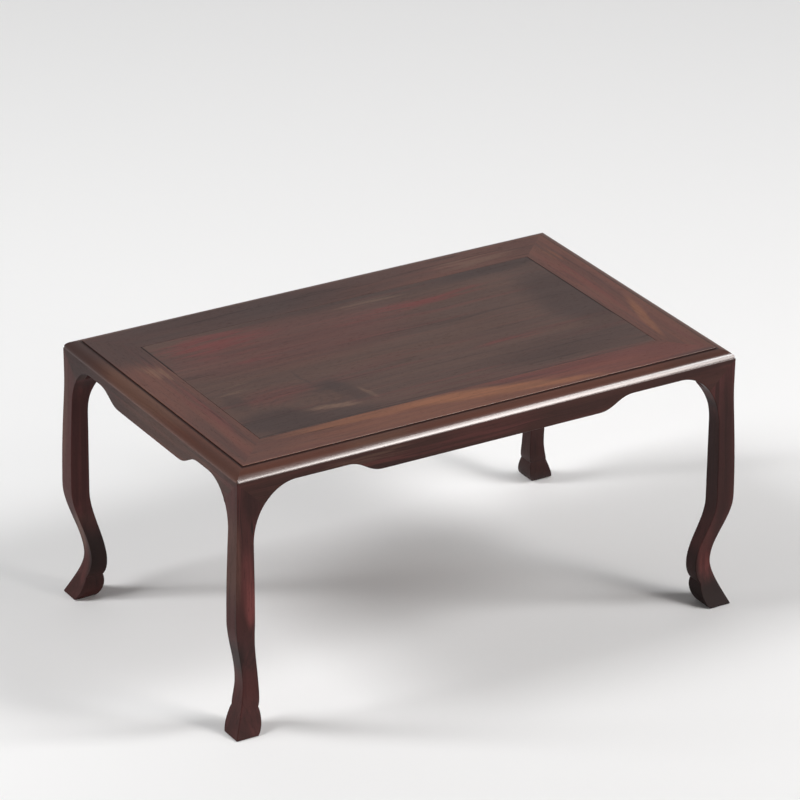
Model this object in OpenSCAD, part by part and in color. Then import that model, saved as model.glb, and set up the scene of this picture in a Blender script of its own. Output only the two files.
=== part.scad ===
// A low display stand in joined hardwood: a mitred frame round a floating panel,
// carried on four curved legs with shaped aprons mitred to them.
// Origin on the floor under the middle of the top, +Z up, the long side along X.

/* [Overall] */
// Length of the top, left to right
top_length = 480; // [400:10:640]
// Width of the top, front to back
top_width = 300; // [280:10:420]
// Height from the floor to the top
stand_height = 240; // [210:5:320]

/* [Top frame] */
// Width of a frame member, its moulding included
rail_width = 48; // [44:1:60]
// Thickness of a frame member behind the aprons
rail_thick = 15; // [14:0.5:18]
// Height of the moulded edge that shows above the aprons
edge_height = 8.5; // [7.5:0.5:9.5]
// Width of the moulding round the edge
mould_width = 12; // [8:0.5:12]
// Depth of the small step where the moulding starts
mould_step = 1; // [0.5:0.1:1.5]
// Height of the upright foot under the moulding's curve
mould_foot = 0.6; // [0.4:0.1:1.5]
// Thickness of the stub tenon inside each corner mitre
corner_tenon_thick = 5; // [4:0.5:6]
// Wood left round each corner tenon
corner_tenon_wall = 2.5; // [2:0.5:4]

/* [Panel] */
// Thickness of the floating panel
panel_thick = 8; // [7:0.5:9]
// Thickness of the tongue round the panel
tongue_thick = 3; // [2.5:0.5:4]
// How far the tongue round the panel reaches into the frame
tongue_length = 5; // [4:0.5:7]
// Room left past the tongue for the panel to swell
groove_spare = 0.8; // [0.5:0.1:1.5]
// Open joint at each end of the panel
panel_end_gap = 0.5; // [0.2:0.1:1]
// Open joint along each side of the panel
panel_side_gap = 0.2; // [0.1:0.1:0.8]

/* [Braces] */
// Distance between the two braces under the panel
brace_spacing = 200; // [120:10:280]
// Width of a brace
brace_width = 16; // [14:1:24]
// Height of a brace below the panel
brace_height = 10; // [8:0.5:14]
// Height of the dovetail that slides into the panel
dovetail_height = 3; // [2:0.5:4]
// Width of the dovetail at its narrow root
dovetail_root = 8; // [6:0.5:10]
// How much wider the dovetail is at its top, on each side
dovetail_flare = 1; // [0.5:0.25:1.5]
// Thickness of the stub tenon on each end of a brace
brace_tenon_thick = 3.5; // [3:0.25:4.5]
// Length of the stub tenon on each end of a brace
brace_tenon_length = 10; // [6:1:14]
// Shoulder on each side of that tenon
brace_shoulder = 2; // [1:0.5:4]

/* [Aprons] */
// Thickness of the aprons
apron_thick = 9; // [7:0.5:10]
// Height of an apron along its long lower lobe
apron_height = 19; // [16:0.5:24]
// Height of an apron at its raised ends
apron_end_height = 8; // [7:0.5:11]
// Half length of the straight lobe on the two long aprons
long_lobe = 104; // [80:2:120]
// Half length of the straight lobe on the two short aprons
short_lobe = 51; // [30:1:54]
// Length of the double curve that rises from the lobe
ogee_length = 34; // [24:1:36]
// Width of the round where a long apron runs into a leg
long_round_width = 40; // [32:1:44]
// Height of the round where a long apron runs into a leg
long_round_height = 50; // [42:1:54]
// Width of the round where a short apron runs into a leg
short_round_width = 33; // [30:1:36]
// Height of the round where a short apron runs into a leg
short_round_height = 40; // [36:1:46]
// Thickness of the tongue in the mitre between apron and leg
mitre_tongue_thick = 3.5; // [2.5:0.5:4]
// Length of the tongue in the mitre between apron and leg
mitre_tongue_length = 4; // [2:0.5:5]

/* [Legs] */
// Thickness of a leg at its knee
leg_thick = 17.5; // [16:0.5:20]
// How far the knee stands out past the apron
knee_out = 2.6; // [0:0.2:5]
// Height of the knee
knee_z = 104; // [95:1:120]
// How far the ankle is drawn in behind the apron face
ankle_in = 10.3; // [6:0.1:13]
// Height of the ankle
ankle_z = 40; // [36:1:48]
// Thickness of a leg at its ankle
ankle_thick = 15; // [13:0.5:17]
// How far the toe stands out past the apron
toe_out = 3.5; // [0:0.5:6]
// Width of the square sole
sole_width = 21; // [18:0.5:24]
// Height of the nick at the back of the foot
nick_z = 21.5; // [18:0.5:25]
// Distance from the apron face in to the bottom of the nick
nick_in = 22.4; // [20:0.2:23]
// How far the heel swells behind the nick
heel_swell = 1.4; // [0.4:0.2:2.4]
// Width of the square tenon on top of each leg
leg_tenon_width = 8; // [6:0.5:9]
// Height of the tenon on top of each leg
leg_tenon_height = 5; // [4:0.5:6]

/* [Hidden] */

// Clearance round every tenon, tongue and housing
fit = 0.15;
// Overlap that joins two solids of one piece, and the overshoot of a cut
lap = 1;
// Straight pieces in each curved stretch
curve_steps = 10;
// How far a curve of the leg holds its direction before it turns
bend_ease = 21;
toe_ease = 12;
// Slope of the toe's face, outwards for each millimetre down
toe_slope = 0.44;
// The back of the leg turns this much lower than its face
back_drop = 5;
// Where the swell of the heel starts and ends, as shares of the nick's height
heel_top = 0.8;
heel_foot = 0.3;
// Share of the double curve's length that leaves each end level
ogee_ease = 0.45;
// The dark reddish woods of the stand
frame_wood = "#6b463c";
panel_wood = "#5a4a44";
apron_wood = "#4b302c";
leg_wood = "#4d2f30";
brace_wood = "#5e4a3c";

// Levels
face_z = stand_height - edge_height;
rail_z = stand_height - rail_thick;
panel_z = stand_height - panel_thick;
lobe_z = face_z - apron_height;
end_z = face_z - apron_end_height;
mould_top = stand_height - mould_step;

// Distances inwards from the outer face
shaft_back = leg_thick - knee_out;
ankle_back = ankle_in + ankle_thick;
sole_back = sole_width - toe_out;
groove_in = rail_width - tongue_length - groove_spare;
apron_seat = apron_thick + fit;

// Height at which a round meets the mitre that falls at 45 degrees from the top corner
function mitre_z(w, h) =
    let (c = face_z - shaft_back - w,
        d = end_z - h,
        k = 1 / (w * w) + 1 / (h * h),
        m = c / (w * w) + d / (h * h),
        n = c * c / (w * w) + d * d / (h * h) - 1)
    (m + sqrt(m * m - k * n)) / k;
long_mitre_z = mitre_z(long_round_width, long_round_height);
short_mitre_z = mitre_z(short_round_width, short_round_height);

// The leg's head, behind the aprons, is as deep as the two mitres
head_x = face_z - long_mitre_z;
head_y = face_z - short_mitre_z;
leg_near = max(toe_out, knee_out) + lap;
leg_far = max(ankle_back, head_x, head_y) + lap;

// The corner tenon lies between the leg's head and the panel's groove
corner_tenon_from = max(head_x, head_y) + corner_tenon_wall;
corner_tenon_to = groove_in - corner_tenon_wall;
corner_tenon_end = mould_width + corner_tenon_wall;

// Points of a smooth curve from a to d, drawn towards b and c, the last one left out
function curve(a, b, c, d) = [
    for (i = [0:curve_steps - 1])
        let (t = i / curve_steps, s = 1 - t)
        s * s * s * a + 3 * s * s * t * b + 3 * s * t * t * c + t * t * t * d];

// Points of a round from one angle to another: 0 is its foot on the leg, 90 its top
function round_points(w, h, from, to) = [
    for (i = [0:curve_steps])
        let (a = from + (to - from) * i / curve_steps)
        [shaft_back + w * (1 - cos(a)), end_z - h + h * sin(a)]];
function mitre_angle(w, h) = asin((mitre_z(w, h) - end_z + h) / h);

// Face of a leg from the sole up, as distance inwards and height
function leg_face_edge(top) = concat(
    curve([-toe_out, 0], [-toe_out + toe_slope * toe_ease, toe_ease],
        [ankle_in, ankle_z - toe_ease], [ankle_in, ankle_z]),
    curve([ankle_in, ankle_z], [ankle_in, ankle_z + bend_ease],
        [-knee_out, knee_z - bend_ease], [-knee_out, knee_z]),
    curve([-knee_out, knee_z], [-knee_out, (knee_z + top) / 2], [0, top - bend_ease], [0, top]),
    [[0, top], [0, face_z]]);

// Back of a leg from under the round down to the sole
function leg_back_edge() =
    let (knee_back_z = knee_z - back_drop,
        ankle_back_z = ankle_z - back_drop,
        heel_in = nick_in + heel_swell)
    concat(
        curve([shaft_back, knee_back_z], [shaft_back, knee_back_z - bend_ease],
            [ankle_back, ankle_back_z + bend_ease], [ankle_back, ankle_back_z]),
        curve([ankle_back, ankle_back_z], [ankle_back, (ankle_back_z + nick_z) / 2],
            [heel_in, nick_z + heel_swell], [nick_in, nick_z]),
        curve([nick_in, nick_z], [heel_in, nick_z * heel_top],
            [heel_in, nick_z * heel_foot], [sole_back, 0]),
        [[sole_back, 0]]);

// Outline of a leg on the side whose round has this width and height
function leg_outline(w, h) = concat(
    leg_face_edge(min(long_mitre_z, short_mitre_z)),
    [[face_z - mitre_z(w, h), face_z]],
    round_points(w, h, mitre_angle(w, h), 0),
    leg_back_edge());

// Half of an apron's outline, from the mitred corner to the lobe
function apron_half(length, lobe, w, h) =
    let (lobe_end = [length / 2 - lobe, lobe_z],
        rise_end = [length / 2 - lobe - ogee_length, end_z],
        ease = [ogee_length * ogee_ease, 0])
    concat([[0, face_z]],
        round_points(w, h, mitre_angle(w, h), 90),
        curve(rise_end, rise_end + ease, lobe_end - ease, lobe_end),
        [lobe_end]);
function flip(points, length) = [
    for (i = [len(points) - 1:-1:0]) [length - points[i][0], points[i][1]]];

// Cross-section of a frame member, as distance inwards and height
function moulding() =
    let (foot_z = face_z + mould_foot)
    [for (i = [0:curve_steps])
        let (a = 90 * i / curve_steps)
        [mould_width * (1 - cos(a)), foot_z + (mould_top - foot_z) * sin(a)]];
function rail_section() = concat(
    [[0, face_z]],
    moulding(),
    [[mould_width, stand_height], [rail_width, stand_height],
        [rail_width, panel_z + tongue_thick + fit], [groove_in, panel_z + tongue_thick + fit],
        [groove_in, panel_z - fit], [rail_width, panel_z - fit],
        [rail_width, rail_z], [apron_seat, rail_z], [apron_seat, face_z]]);

// Each piece is drawn inwards from the front left corner, along +X and +Y
module from_corner() {
    translate([-top_length / 2, -top_width / 2, 0]) children();
}

// Stands an outline of (along, height) upright across the front, and across the left side
module stand_front(from, to) {
    translate([0, to, 0]) rotate([90, 0, 0]) linear_extrude(to - from) children();
}
module stand_side(from, to) {
    translate([from, 0, 0]) rotate([90, 0, 90]) linear_extrude(to - from) children();
}

// Housing in the underside of the frame for a leg's head and tenon, front left corner
module leg_seat() {
    translate([-lap, -lap, rail_z - lap])
        cube([head_x + fit + lap, head_y + fit + lap, face_z - rail_z + lap]);
    leg_tenon(fit);
}
module leg_tenon(spare) {
    width = leg_tenon_width + 2 * spare;
    translate([(apron_thick + head_x - width) / 2, (apron_thick + head_y - width) / 2, face_z - lap])
        cube([width, width, lap + leg_tenon_height + spare]);
}

// Stub tenon of a long member inside the mitre, left end
module corner_tenon() {
    translate([0, 0, (rail_z + stand_height - corner_tenon_thick) / 2])
        linear_extrude(corner_tenon_thick)
            polygon([[corner_tenon_end, corner_tenon_from],
                [corner_tenon_from + lap, corner_tenon_from],
                [corner_tenon_to + lap, corner_tenon_to],
                [corner_tenon_end, corner_tenon_to]]);
}
module corner_mortise() {
    translate([corner_tenon_end - fit, corner_tenon_from - fit,
        (rail_z + stand_height - corner_tenon_thick) / 2 - fit])
        cube([rail_width, corner_tenon_to - corner_tenon_from + 2 * fit,
            corner_tenon_thick + 2 * fit]);
}

// Mortise for a brace's tenon, centred on X = 0
module brace_mortise() {
    width = brace_width - 2 * brace_shoulder + 2 * fit;
    depth = brace_tenon_length + fit;
    translate([-width / 2, rail_width - depth, (rail_z + panel_z - brace_tenon_thick) / 2 - fit])
        cube([width, depth + lap, brace_tenon_thick + 2 * fit]);
}

module long_rail() {
    color(frame_wood) from_corner() difference() {
        union() {
            intersection() {
                stand_side(0, top_length) polygon(rail_section());
                translate([0, 0, rail_z - lap]) linear_extrude(rail_thick + 2 * lap)
                    polygon([[0, 0], [top_length, 0],
                        [top_length - rail_width, rail_width], [rail_width, rail_width]]);
            }
            corner_tenon();
            translate([top_length, 0, 0]) mirror([1, 0, 0]) corner_tenon();
        }
        leg_seat();
        translate([top_length, 0, 0]) mirror([1, 0, 0]) leg_seat();
        for (side = [-1, 1])
            translate([(top_length + side * brace_spacing) / 2, 0, 0]) brace_mortise();
    }
}

module short_rail() {
    color(frame_wood) from_corner() difference() {
        intersection() {
            translate([0, top_width, 0]) mirror([0, 1, 0]) stand_front(0, top_width)
                polygon(rail_section());
            translate([0, 0, rail_z - lap]) linear_extrude(rail_thick + 2 * lap)
                polygon([[0, 0], [rail_width, rail_width],
                    [rail_width, top_width - rail_width], [0, top_width]]);
        }
        for (far = [0, 1])
            translate([0, far * top_width, 0]) mirror([0, far, 0]) {
                leg_seat();
                corner_mortise();
            }
    }
}

module frame_front() { long_rail(); }
module frame_back() { mirror([0, 1, 0]) long_rail(); }
module frame_left() { short_rail(); }
module frame_right() { mirror([1, 0, 0]) short_rail(); }

module top_panel() {
    inner_length = top_length - 2 * rail_width;
    inner_width = top_width - 2 * rail_width;
    root = dovetail_root / 2 + fit;
    crown = root + dovetail_flare;
    color(panel_wood) difference() {
        union() {
            translate([panel_end_gap - inner_length / 2, panel_side_gap - inner_width / 2, panel_z])
                cube([inner_length - 2 * panel_end_gap, inner_width - 2 * panel_side_gap, panel_thick]);
            translate([-inner_length / 2 - tongue_length, -inner_width / 2 - tongue_length, panel_z])
                cube([inner_length + 2 * tongue_length, inner_width + 2 * tongue_length, tongue_thick]);
        }
        for (side = [-1, 1])
            translate([side * brace_spacing / 2, 0, 0]) stand_front(-top_width / 2, top_width / 2)
                polygon([[-root, panel_z - lap], [root, panel_z - lap], [root, panel_z],
                    [crown, panel_z + dovetail_height + fit], [-crown, panel_z + dovetail_height + fit],
                    [-root, panel_z]]);
    }
}

module brace() {
    half_span = top_width / 2 - rail_width;
    tenon_width = brace_width - 2 * brace_shoulder;
    root = dovetail_root / 2;
    crown = root + dovetail_flare;
    color(brace_wood) union() {
        stand_front(-half_span, half_span)
            polygon([[-brace_width / 2, panel_z - brace_height], [brace_width / 2, panel_z - brace_height],
                [brace_width / 2, panel_z], [root, panel_z], [crown, panel_z + dovetail_height],
                [-crown, panel_z + dovetail_height], [-root, panel_z], [-brace_width / 2, panel_z]]);
        translate([-tenon_width / 2, -half_span - brace_tenon_length,
            (rail_z + panel_z - brace_tenon_thick) / 2])
            cube([tenon_width, 2 * (half_span + brace_tenon_length), brace_tenon_thick]);
    }
}
module brace_left() { translate([-brace_spacing / 2, 0, 0]) brace(); }
module brace_right() { translate([brace_spacing / 2, 0, 0]) brace(); }

// Outline of the tongue in the mitre between apron and leg, at the left end
module tongue_outline(low_z, root, spare) {
    low = low_z + corner_tenon_wall - spare;
    high = face_z - apron_thick - mitre_tongue_length + spare;
    reach = mitre_tongue_length + spare;
    polygon([[face_z - low + root, low], [face_z - high + root, high],
        [face_z - high - reach, high], [face_z - low - reach, low]]);
}

// An apron of this length, drawn across the front from the left corner
module apron(length, lobe, w, h) {
    half = apron_half(length, lobe, w, h);
    tongue_from = (apron_thick - mitre_tongue_thick) / 2;
    color(apron_wood) union() {
        intersection() {
            stand_front(0, apron_thick) polygon(concat(half, flip(half, length)));
            translate([0, 0, face_z - leg_far]) linear_extrude(leg_far + lap)
                polygon([[0, 0], [length, 0], [length - apron_thick, apron_thick],
                    [apron_thick, apron_thick]]);
        }
        for (far = [0, 1])
            translate([far * length, 0, 0]) mirror([far, 0, 0])
                stand_front(tongue_from, tongue_from + mitre_tongue_thick)
                    tongue_outline(mitre_z(w, h), lap, 0);
    }
}
module long_apron() {
    from_corner() apron(top_length, long_lobe, long_round_width, long_round_height);
}
module short_apron() {
    from_corner() translate([0, top_width, 0]) rotate([0, 0, -90])
        apron(top_width, short_lobe, short_round_width, short_round_height);
}
module apron_front() { long_apron(); }
module apron_back() { mirror([0, 1, 0]) long_apron(); }
module apron_left() { short_apron(); }
module apron_right() { mirror([1, 0, 0]) short_apron(); }

// Space that an apron takes out of a leg, with the groove for its tongue
module above_mitre() {
    polygon([[-lap, face_z + lap], [leg_far, face_z - leg_far], [leg_far, face_z + lap]]);
}

module leg() {
    groove_from = (apron_thick - mitre_tongue_thick) / 2 - fit;
    groove_to = (apron_thick + mitre_tongue_thick) / 2 + fit;
    color(leg_wood) from_corner() union() {
        difference() {
            intersection() {
                stand_front(-leg_near, leg_far)
                    polygon(leg_outline(long_round_width, long_round_height));
                stand_side(-leg_near, leg_far)
                    polygon(leg_outline(short_round_width, short_round_height));
            }
            stand_front(-leg_near - lap, apron_thick) above_mitre();
            stand_side(-leg_near - lap, apron_thick) above_mitre();
            stand_front(groove_from, groove_to) tongue_outline(long_mitre_z, lap, fit);
            stand_side(groove_from, groove_to) tongue_outline(short_mitre_z, lap, fit);
        }
        leg_tenon(0);
    }
}
module leg_front_left() { leg(); }
module leg_front_right() { mirror([1, 0, 0]) leg(); }
module leg_back_left() { mirror([0, 1, 0]) leg(); }
module leg_back_right() { rotate([0, 0, 180]) leg(); }

frame_front();
frame_back();
frame_left();
frame_right();
top_panel();
brace_left();
brace_right();
apron_front();
apron_back();
apron_left();
apron_right();
leg_front_left();
leg_front_right();
leg_back_left();
leg_back_right();
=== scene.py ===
"""Looks of a low display stand in oiled rosewood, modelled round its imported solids."""
import math

import bmesh
import bpy
from bpy.props import FloatProperty, FloatVectorProperty, PointerProperty
from mathutils import Matrix, Vector


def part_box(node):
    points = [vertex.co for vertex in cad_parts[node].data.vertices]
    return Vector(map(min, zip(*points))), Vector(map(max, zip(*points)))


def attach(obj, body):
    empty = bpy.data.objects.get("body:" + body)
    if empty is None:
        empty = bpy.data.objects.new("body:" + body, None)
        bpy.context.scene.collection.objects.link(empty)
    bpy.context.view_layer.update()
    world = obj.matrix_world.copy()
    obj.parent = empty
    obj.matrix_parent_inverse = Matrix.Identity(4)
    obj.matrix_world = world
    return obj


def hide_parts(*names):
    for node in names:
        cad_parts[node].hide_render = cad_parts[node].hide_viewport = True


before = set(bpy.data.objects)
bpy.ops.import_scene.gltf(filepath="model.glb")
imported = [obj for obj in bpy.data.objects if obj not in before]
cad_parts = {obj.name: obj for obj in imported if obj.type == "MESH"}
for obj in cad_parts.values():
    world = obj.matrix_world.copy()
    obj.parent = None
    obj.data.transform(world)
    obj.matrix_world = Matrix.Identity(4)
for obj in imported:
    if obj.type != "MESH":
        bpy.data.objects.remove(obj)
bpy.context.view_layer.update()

bl_info = {
    "name": "Rosewood display stand",
    "version": (1, 0, 0),
    "blender": (4, 5, 0),
    "location": "3D View > Sidebar > Stand",
    "description": "Models and finishes a low display stand piece by piece",
    "category": "Add Mesh",
}

MM = 0.001
QUARTER = math.radians(90)
SMOOTH_ANGLE = math.radians(30)
STEPS = 24              # straight pieces in each drawn curve
CORNER_STEPS = 8        # straight pieces in the rounding of a corner
TOUCH = 0.02 * MM       # points closer than this are one point
NEAR = 0.05 * MM        # an edge closer than this to a plane lies in it
SLACK = 0.15 * MM       # play that a housing or groove has on each side
OVER = MM               # how far a cutter reaches past what it cuts
FACING = 0.9            # share of a face's normal that makes it look one way


def linear(code):
    """The linear colour of an sRGB hex value."""
    parts = [int(code[i:i + 2], 16) / 255 for i in (0, 2, 4)]
    return tuple(c / 12.92 if c <= 0.04045 else ((c + 0.055) / 1.055) ** 2.4 for c in parts)


def size_mm(label, about, size):
    return FloatProperty(name=label, description=about, default=size * MM, unit="LENGTH",
                         precision=5)


def round_mm(label, side, width, height):
    return FloatVectorProperty(name=label, size=2, unit="LENGTH", default=(width * MM, height * MM),
                               description="Width and height of the round into a leg, " + side)


def hex_colour(label, about, code):
    return FloatVectorProperty(name=label, description=about, default=linear(code), size=3,
                               subtype="COLOR", min=0, max=1)


FRAME_LOW, FRAME_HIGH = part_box("frame_front")
SIDE_LOW, SIDE_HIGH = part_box("frame_left")


class StandTopSizes(bpy.types.PropertyGroup):
    """Sizes of the frame and the panel."""
    length: size_mm("Length", "Length of the top, left to right", (FRAME_HIGH.x - FRAME_LOW.x) / MM)
    width: size_mm("Width", "Width of the top, front to back", (SIDE_HIGH.y - SIDE_LOW.y) / MM)
    height: size_mm("Height", "Height from the floor to the top", FRAME_HIGH.z / MM)
    rail_width: size_mm("Member width", "Width of a frame member with its moulding", 48)
    rail_thick: size_mm("Member thickness", "Thickness of a frame member", 15)
    edge_height: size_mm("Edge height", "Height of the moulded edge above the aprons", 8.5)
    mould_width: size_mm("Moulding width", "Width of the moulding round the edge", 12)
    mould_step: size_mm("Step", "Depth of the small step where the moulding starts", 1)
    mould_turn: size_mm("Moulding turn", "How far its round is centred below the aprons' top", 0.3)
    corner_round: size_mm("Corner round", "Rounding of the outer corners, seen from above", 2.5)
    panel_thick: size_mm("Panel thickness", "Thickness of the floating panel", 8)
    tongue_thick: size_mm("Tongue thickness", "Thickness of the tongue round the panel", 3)
    tongue_length: size_mm("Tongue length", "Reach of the tongue into the frame", 5)
    end_gap: size_mm("End joint", "Open joint at each end of the panel", 0.3)
    side_gap: size_mm("Side joint", "Open joint along each side of the panel", 0.2)
    top_arris: size_mm("Top arris", "Softening of the arris above the step", 0.35)


class StandApronSizes(bpy.types.PropertyGroup):
    """Sizes of the aprons."""
    thick: size_mm("Thickness", "Thickness of the aprons", 9)
    lobe_height: size_mm("Lobe height", "Height of an apron along its lobe", 19)
    end_height: size_mm("End height", "Height of an apron at its raised ends", 8)
    long_lobe: size_mm("Long lobe", "Half length of the lobe on the long aprons", 104)
    short_lobe: size_mm("Short lobe", "Half length of the lobe on the short aprons", 51)
    ogee: size_mm("Double curve", "Length of the double curve beside the lobe", 34)
    long_round: round_mm("Long round", "long side", 40, 50)
    short_round: round_mm("Short round", "short side", 33, 40)
    arris: size_mm("Arris", "Softening of the free arrises", 0.6)


class StandLegSizes(bpy.types.PropertyGroup):
    """Sizes of the legs."""
    thick: size_mm("Knee thickness", "Thickness of a leg at its knee", 17.5)
    knee_out: size_mm("Knee", "How far the knee stands out past the apron", 2.6)
    knee_z: size_mm("Knee height", "Height of the knee", 104)
    ankle_in: size_mm("Ankle", "How far the ankle is drawn in", 10.3)
    ankle_z: size_mm("Ankle height", "Height of the ankle", 40)
    ankle_thick: size_mm("Ankle thickness", "Thickness of a leg at its ankle", 15)
    toe_out: size_mm("Toe", "How far the toe stands out past the apron", 3.5)
    sole: size_mm("Sole", "Width of the square sole", 21)
    nick_z: size_mm("Nick height", "Height of the nick at the back of the foot", 21.5)
    nick_in: size_mm("Nick", "Distance from the apron face in to the nick", 22.4)
    arris: size_mm("Arris", "Softening of the arrises", 0.8)


class StandFinish(bpy.types.PropertyGroup):
    """Colours and gloss of the oiled wood."""
    frame_wood: hex_colour("Frame", "Ground colour of the frame members", "633f36")
    panel_wood: hex_colour("Panel", "Ground colour of the panel", "553f38")
    apron_wood: hex_colour("Aprons", "Ground colour of the aprons", "3e241f")
    leg_wood: hex_colour("Legs", "Ground colour of the legs", "4a2725")
    brace_wood: hex_colour("Braces", "Ground colour of the braces underneath", "5a4030")
    moulding: hex_colour("Moulding", "Hand-darkened wood of the moulded edge", "4c2f25")
    red: hex_colour("Red", "Red flames of the heartwood", "683634")
    # straw also paints the highlight along the arris above the step
    straw: hex_colour("Straw", "Light orange streaks", "86573f")
    pale: hex_colour("Pale", "Pale broken streaks of the panel", "735a4c")
    smoke: hex_colour("Smoke", "Smoky dark bands", "3e302e")
    # shade and ink also paint shade: the line below the step, the legs' inner faces and the back
    # right leg
    shade: hex_colour("Shade", "Dark bands of the aprons and legs", "271513")
    ink: hex_colour("Ink", "Thin black lines and pores", "1c1210")
    roughness: FloatProperty(name="Roughness", description="Roughness of the oiled surface",
                             default=0.36, min=0, max=1, subtype="FACTOR")


# the scene's names for the groups of sizes and colours
GROUPS = {"stand_top": StandTopSizes, "stand_aprons": StandApronSizes, "stand_legs": StandLegSizes,
          "stand_finish": StandFinish}
CLASSES = list(GROUPS.values())


def operator(cls):
    """Puts an operator or a panel on the list that register works through."""
    CLASSES.append(cls)
    return cls


# ---- drawing and modelling ----

def curve(a, b, c, d):
    """Points of a smooth curve from a to d, drawn towards b and c, the last one left out."""
    a, b, c, d = (Vector(p) for p in (a, b, c, d))
    out = []
    for i in range(STEPS):
        t = i / STEPS
        s = 1 - t
        out.append(s * s * s * a + 3 * s * s * t * b + 3 * s * t * t * c + t * t * t * d)
    return out


def only(piece=None):
    """Leaves edit mode and selects one piece, or none."""
    if bpy.context.mode != "OBJECT":
        bpy.ops.object.mode_set(mode="OBJECT")
    bpy.ops.object.select_all(action="DESELECT")
    if piece:
        bpy.context.view_layer.objects.active = piece
        piece.select_set(True)


def start(name, place):
    """A new piece in edit mode that begins as a small square."""
    only()
    bpy.ops.mesh.primitive_plane_add(size=MM, location=place)
    piece = bpy.context.object
    piece.name = piece.data.name = name
    bpy.ops.object.transform_apply(location=True, rotation=False, scale=False)
    bpy.ops.object.mode_set(mode="EDIT")
    bpy.ops.mesh.select_mode(type="VERT")
    bpy.ops.mesh.select_all(action="SELECT")
    return piece


def pull(vector):
    """Extrudes what is selected."""
    bpy.ops.mesh.extrude_region_move(TRANSFORM_OT_translate={"value": tuple(vector)})


def turn_outwards():
    """Turns all faces of the piece in edit mode outwards."""
    bpy.ops.mesh.select_all(action="SELECT")
    bpy.ops.mesh.normals_make_consistent(inside=False)


def apply(piece, kind, **settings):
    """Adds a modifier with its settings to the active piece, and applies it."""
    modifier = piece.modifiers.new("shape", kind)
    for key, value in settings.items():
        setattr(modifier, key, value)
    bpy.ops.object.modifier_apply(modifier=modifier.name)


def trace(name, points, direction):
    """A solid from a closed outline: each point pulled out of the last, and then the face."""
    piece = start(name, points[0])
    bpy.ops.mesh.merge(type="CENTER")
    for a, b in zip(points, points[1:]):
        step = tuple(Vector(b) - Vector(a))
        bpy.ops.mesh.extrude_vertices_move(TRANSFORM_OT_translate={"value": step})
    bpy.ops.mesh.select_all(action="SELECT")
    bpy.ops.mesh.edge_face_add()
    pull(direction)
    turn_outwards()
    return piece


def cut(point, normal):
    """Saws off the side of the piece that the normal points to, and closes the cut."""
    bpy.ops.mesh.select_all(action="SELECT")
    bpy.ops.mesh.bisect(plane_co=point, plane_no=normal, use_fill=True, clear_outer=True)


def mitre(x, y, along_x):
    """Saws both ends of the front or the left piece at 45 degrees."""
    cut((-x, -y, 0), (-1, 1, 0) if along_x else (1, -1, 0))
    cut((x, -y, 0) if along_x else (-x, y, 0), (1, 1, 0))


def select_faces(piece, wanted):
    """Selects the faces that the test wants, in edit mode."""
    bpy.ops.mesh.select_all(action="DESELECT")
    bpy.ops.mesh.select_mode(type="FACE")
    mesh = bmesh.from_edit_mesh(piece.data)
    for face in mesh.faces:
        face.select = wanted(face)
    bmesh.update_edit_mesh(piece.data)


def take_out(piece, cutter, *spent):
    """Cuts one solid out of another and deletes the cutter, and any other that has served."""
    only(piece)
    apply(piece, "BOOLEAN", object=cutter, solver="MANIFOLD")
    for used in (cutter, *spent):
        bpy.data.meshes.remove(used.data)


def soften(piece, width, share_of):
    """Rounds the sharp edges: share_of gives each edge's share of the width from its two ends."""
    only(piece)
    bpy.ops.object.mode_set(mode="EDIT")
    bpy.ops.mesh.select_mode(type="VERT")
    bpy.ops.mesh.select_all(action="SELECT")
    bpy.ops.mesh.remove_doubles(threshold=TOUCH)
    bpy.ops.mesh.select_mode(type="EDGE")
    bpy.ops.mesh.select_all(action="DESELECT")
    bpy.ops.mesh.edges_select_sharp(sharpness=SMOOTH_ANGLE)
    mesh = bmesh.from_edit_mesh(piece.data)
    layers = mesh.edges.layers.float
    weight = layers.get("bevel_weight_edge") or layers.new("bevel_weight_edge")
    for edge in mesh.edges:
        if edge.select:
            edge[weight] = share_of(edge.verts[0].co, edge.verts[1].co)
    bmesh.update_edit_mesh(piece.data)
    bpy.ops.object.mode_set(mode="OBJECT")
    apply(piece, "BEVEL", width=width, segments=3, limit_method="WEIGHT", use_clamp_overlap=False)
    bpy.ops.object.shade_smooth_by_angle(angle=SMOOTH_ANGLE)


def mirrored(piece, name, across_x, across_y):
    """A copy with its own mesh, mirrored across the stand's middle."""
    only(piece)
    bpy.ops.object.duplicate(linked=False)
    copy = bpy.context.object
    copy.name = copy.data.name = name
    copy.scale = (-1 if across_x else 1, -1 if across_y else 1, 1)
    bpy.ops.object.transform_apply(location=False, rotation=False, scale=True)
    bpy.ops.object.mode_set(mode="EDIT")
    turn_outwards()
    bpy.ops.object.mode_set(mode="OBJECT")
    return copy


def finish_piece(piece, node, material):
    """Dresses a piece, lets it ride on the stand, and puts it in its node's place."""
    only(piece)
    # the broad faces keep their own shading right up to the softened arrises
    apply(piece, "WEIGHTED_NORMAL", mode="FACE_AREA", weight=100, keep_sharp=True)
    piece.data.materials.clear()
    piece.data.materials.append(material)
    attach(piece, "root")
    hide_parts(node)


def finish_four(scene, long, short, name, nodes, wood):
    """Copies the front piece to the back and the left one to the right, and dresses all four."""
    back = mirrored(long, "back_" + name, False, True)
    right = mirrored(short, "right_" + name, True, False)
    for piece, side in ((long, "front"), (back, "back"), (short, "left"), (right, "right")):
        node = nodes + "_" + side
        finish_piece(piece, node, wood(scene, node))


# ---- outlines ----

def levels(scene):
    """Heights that several pieces share."""
    top, apron, leg = scene.stand_top, scene.stand_aprons, scene.stand_legs
    face_z = top.height - top.edge_height
    return {
        "face": face_z,
        "rail": top.height - top.rail_thick,
        "panel": top.height - top.panel_thick,
        "lobe": face_z - apron.lobe_height,
        "end": face_z - apron.end_height,
        "shaft_back": leg.thick - leg.knee_out,
    }


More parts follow.
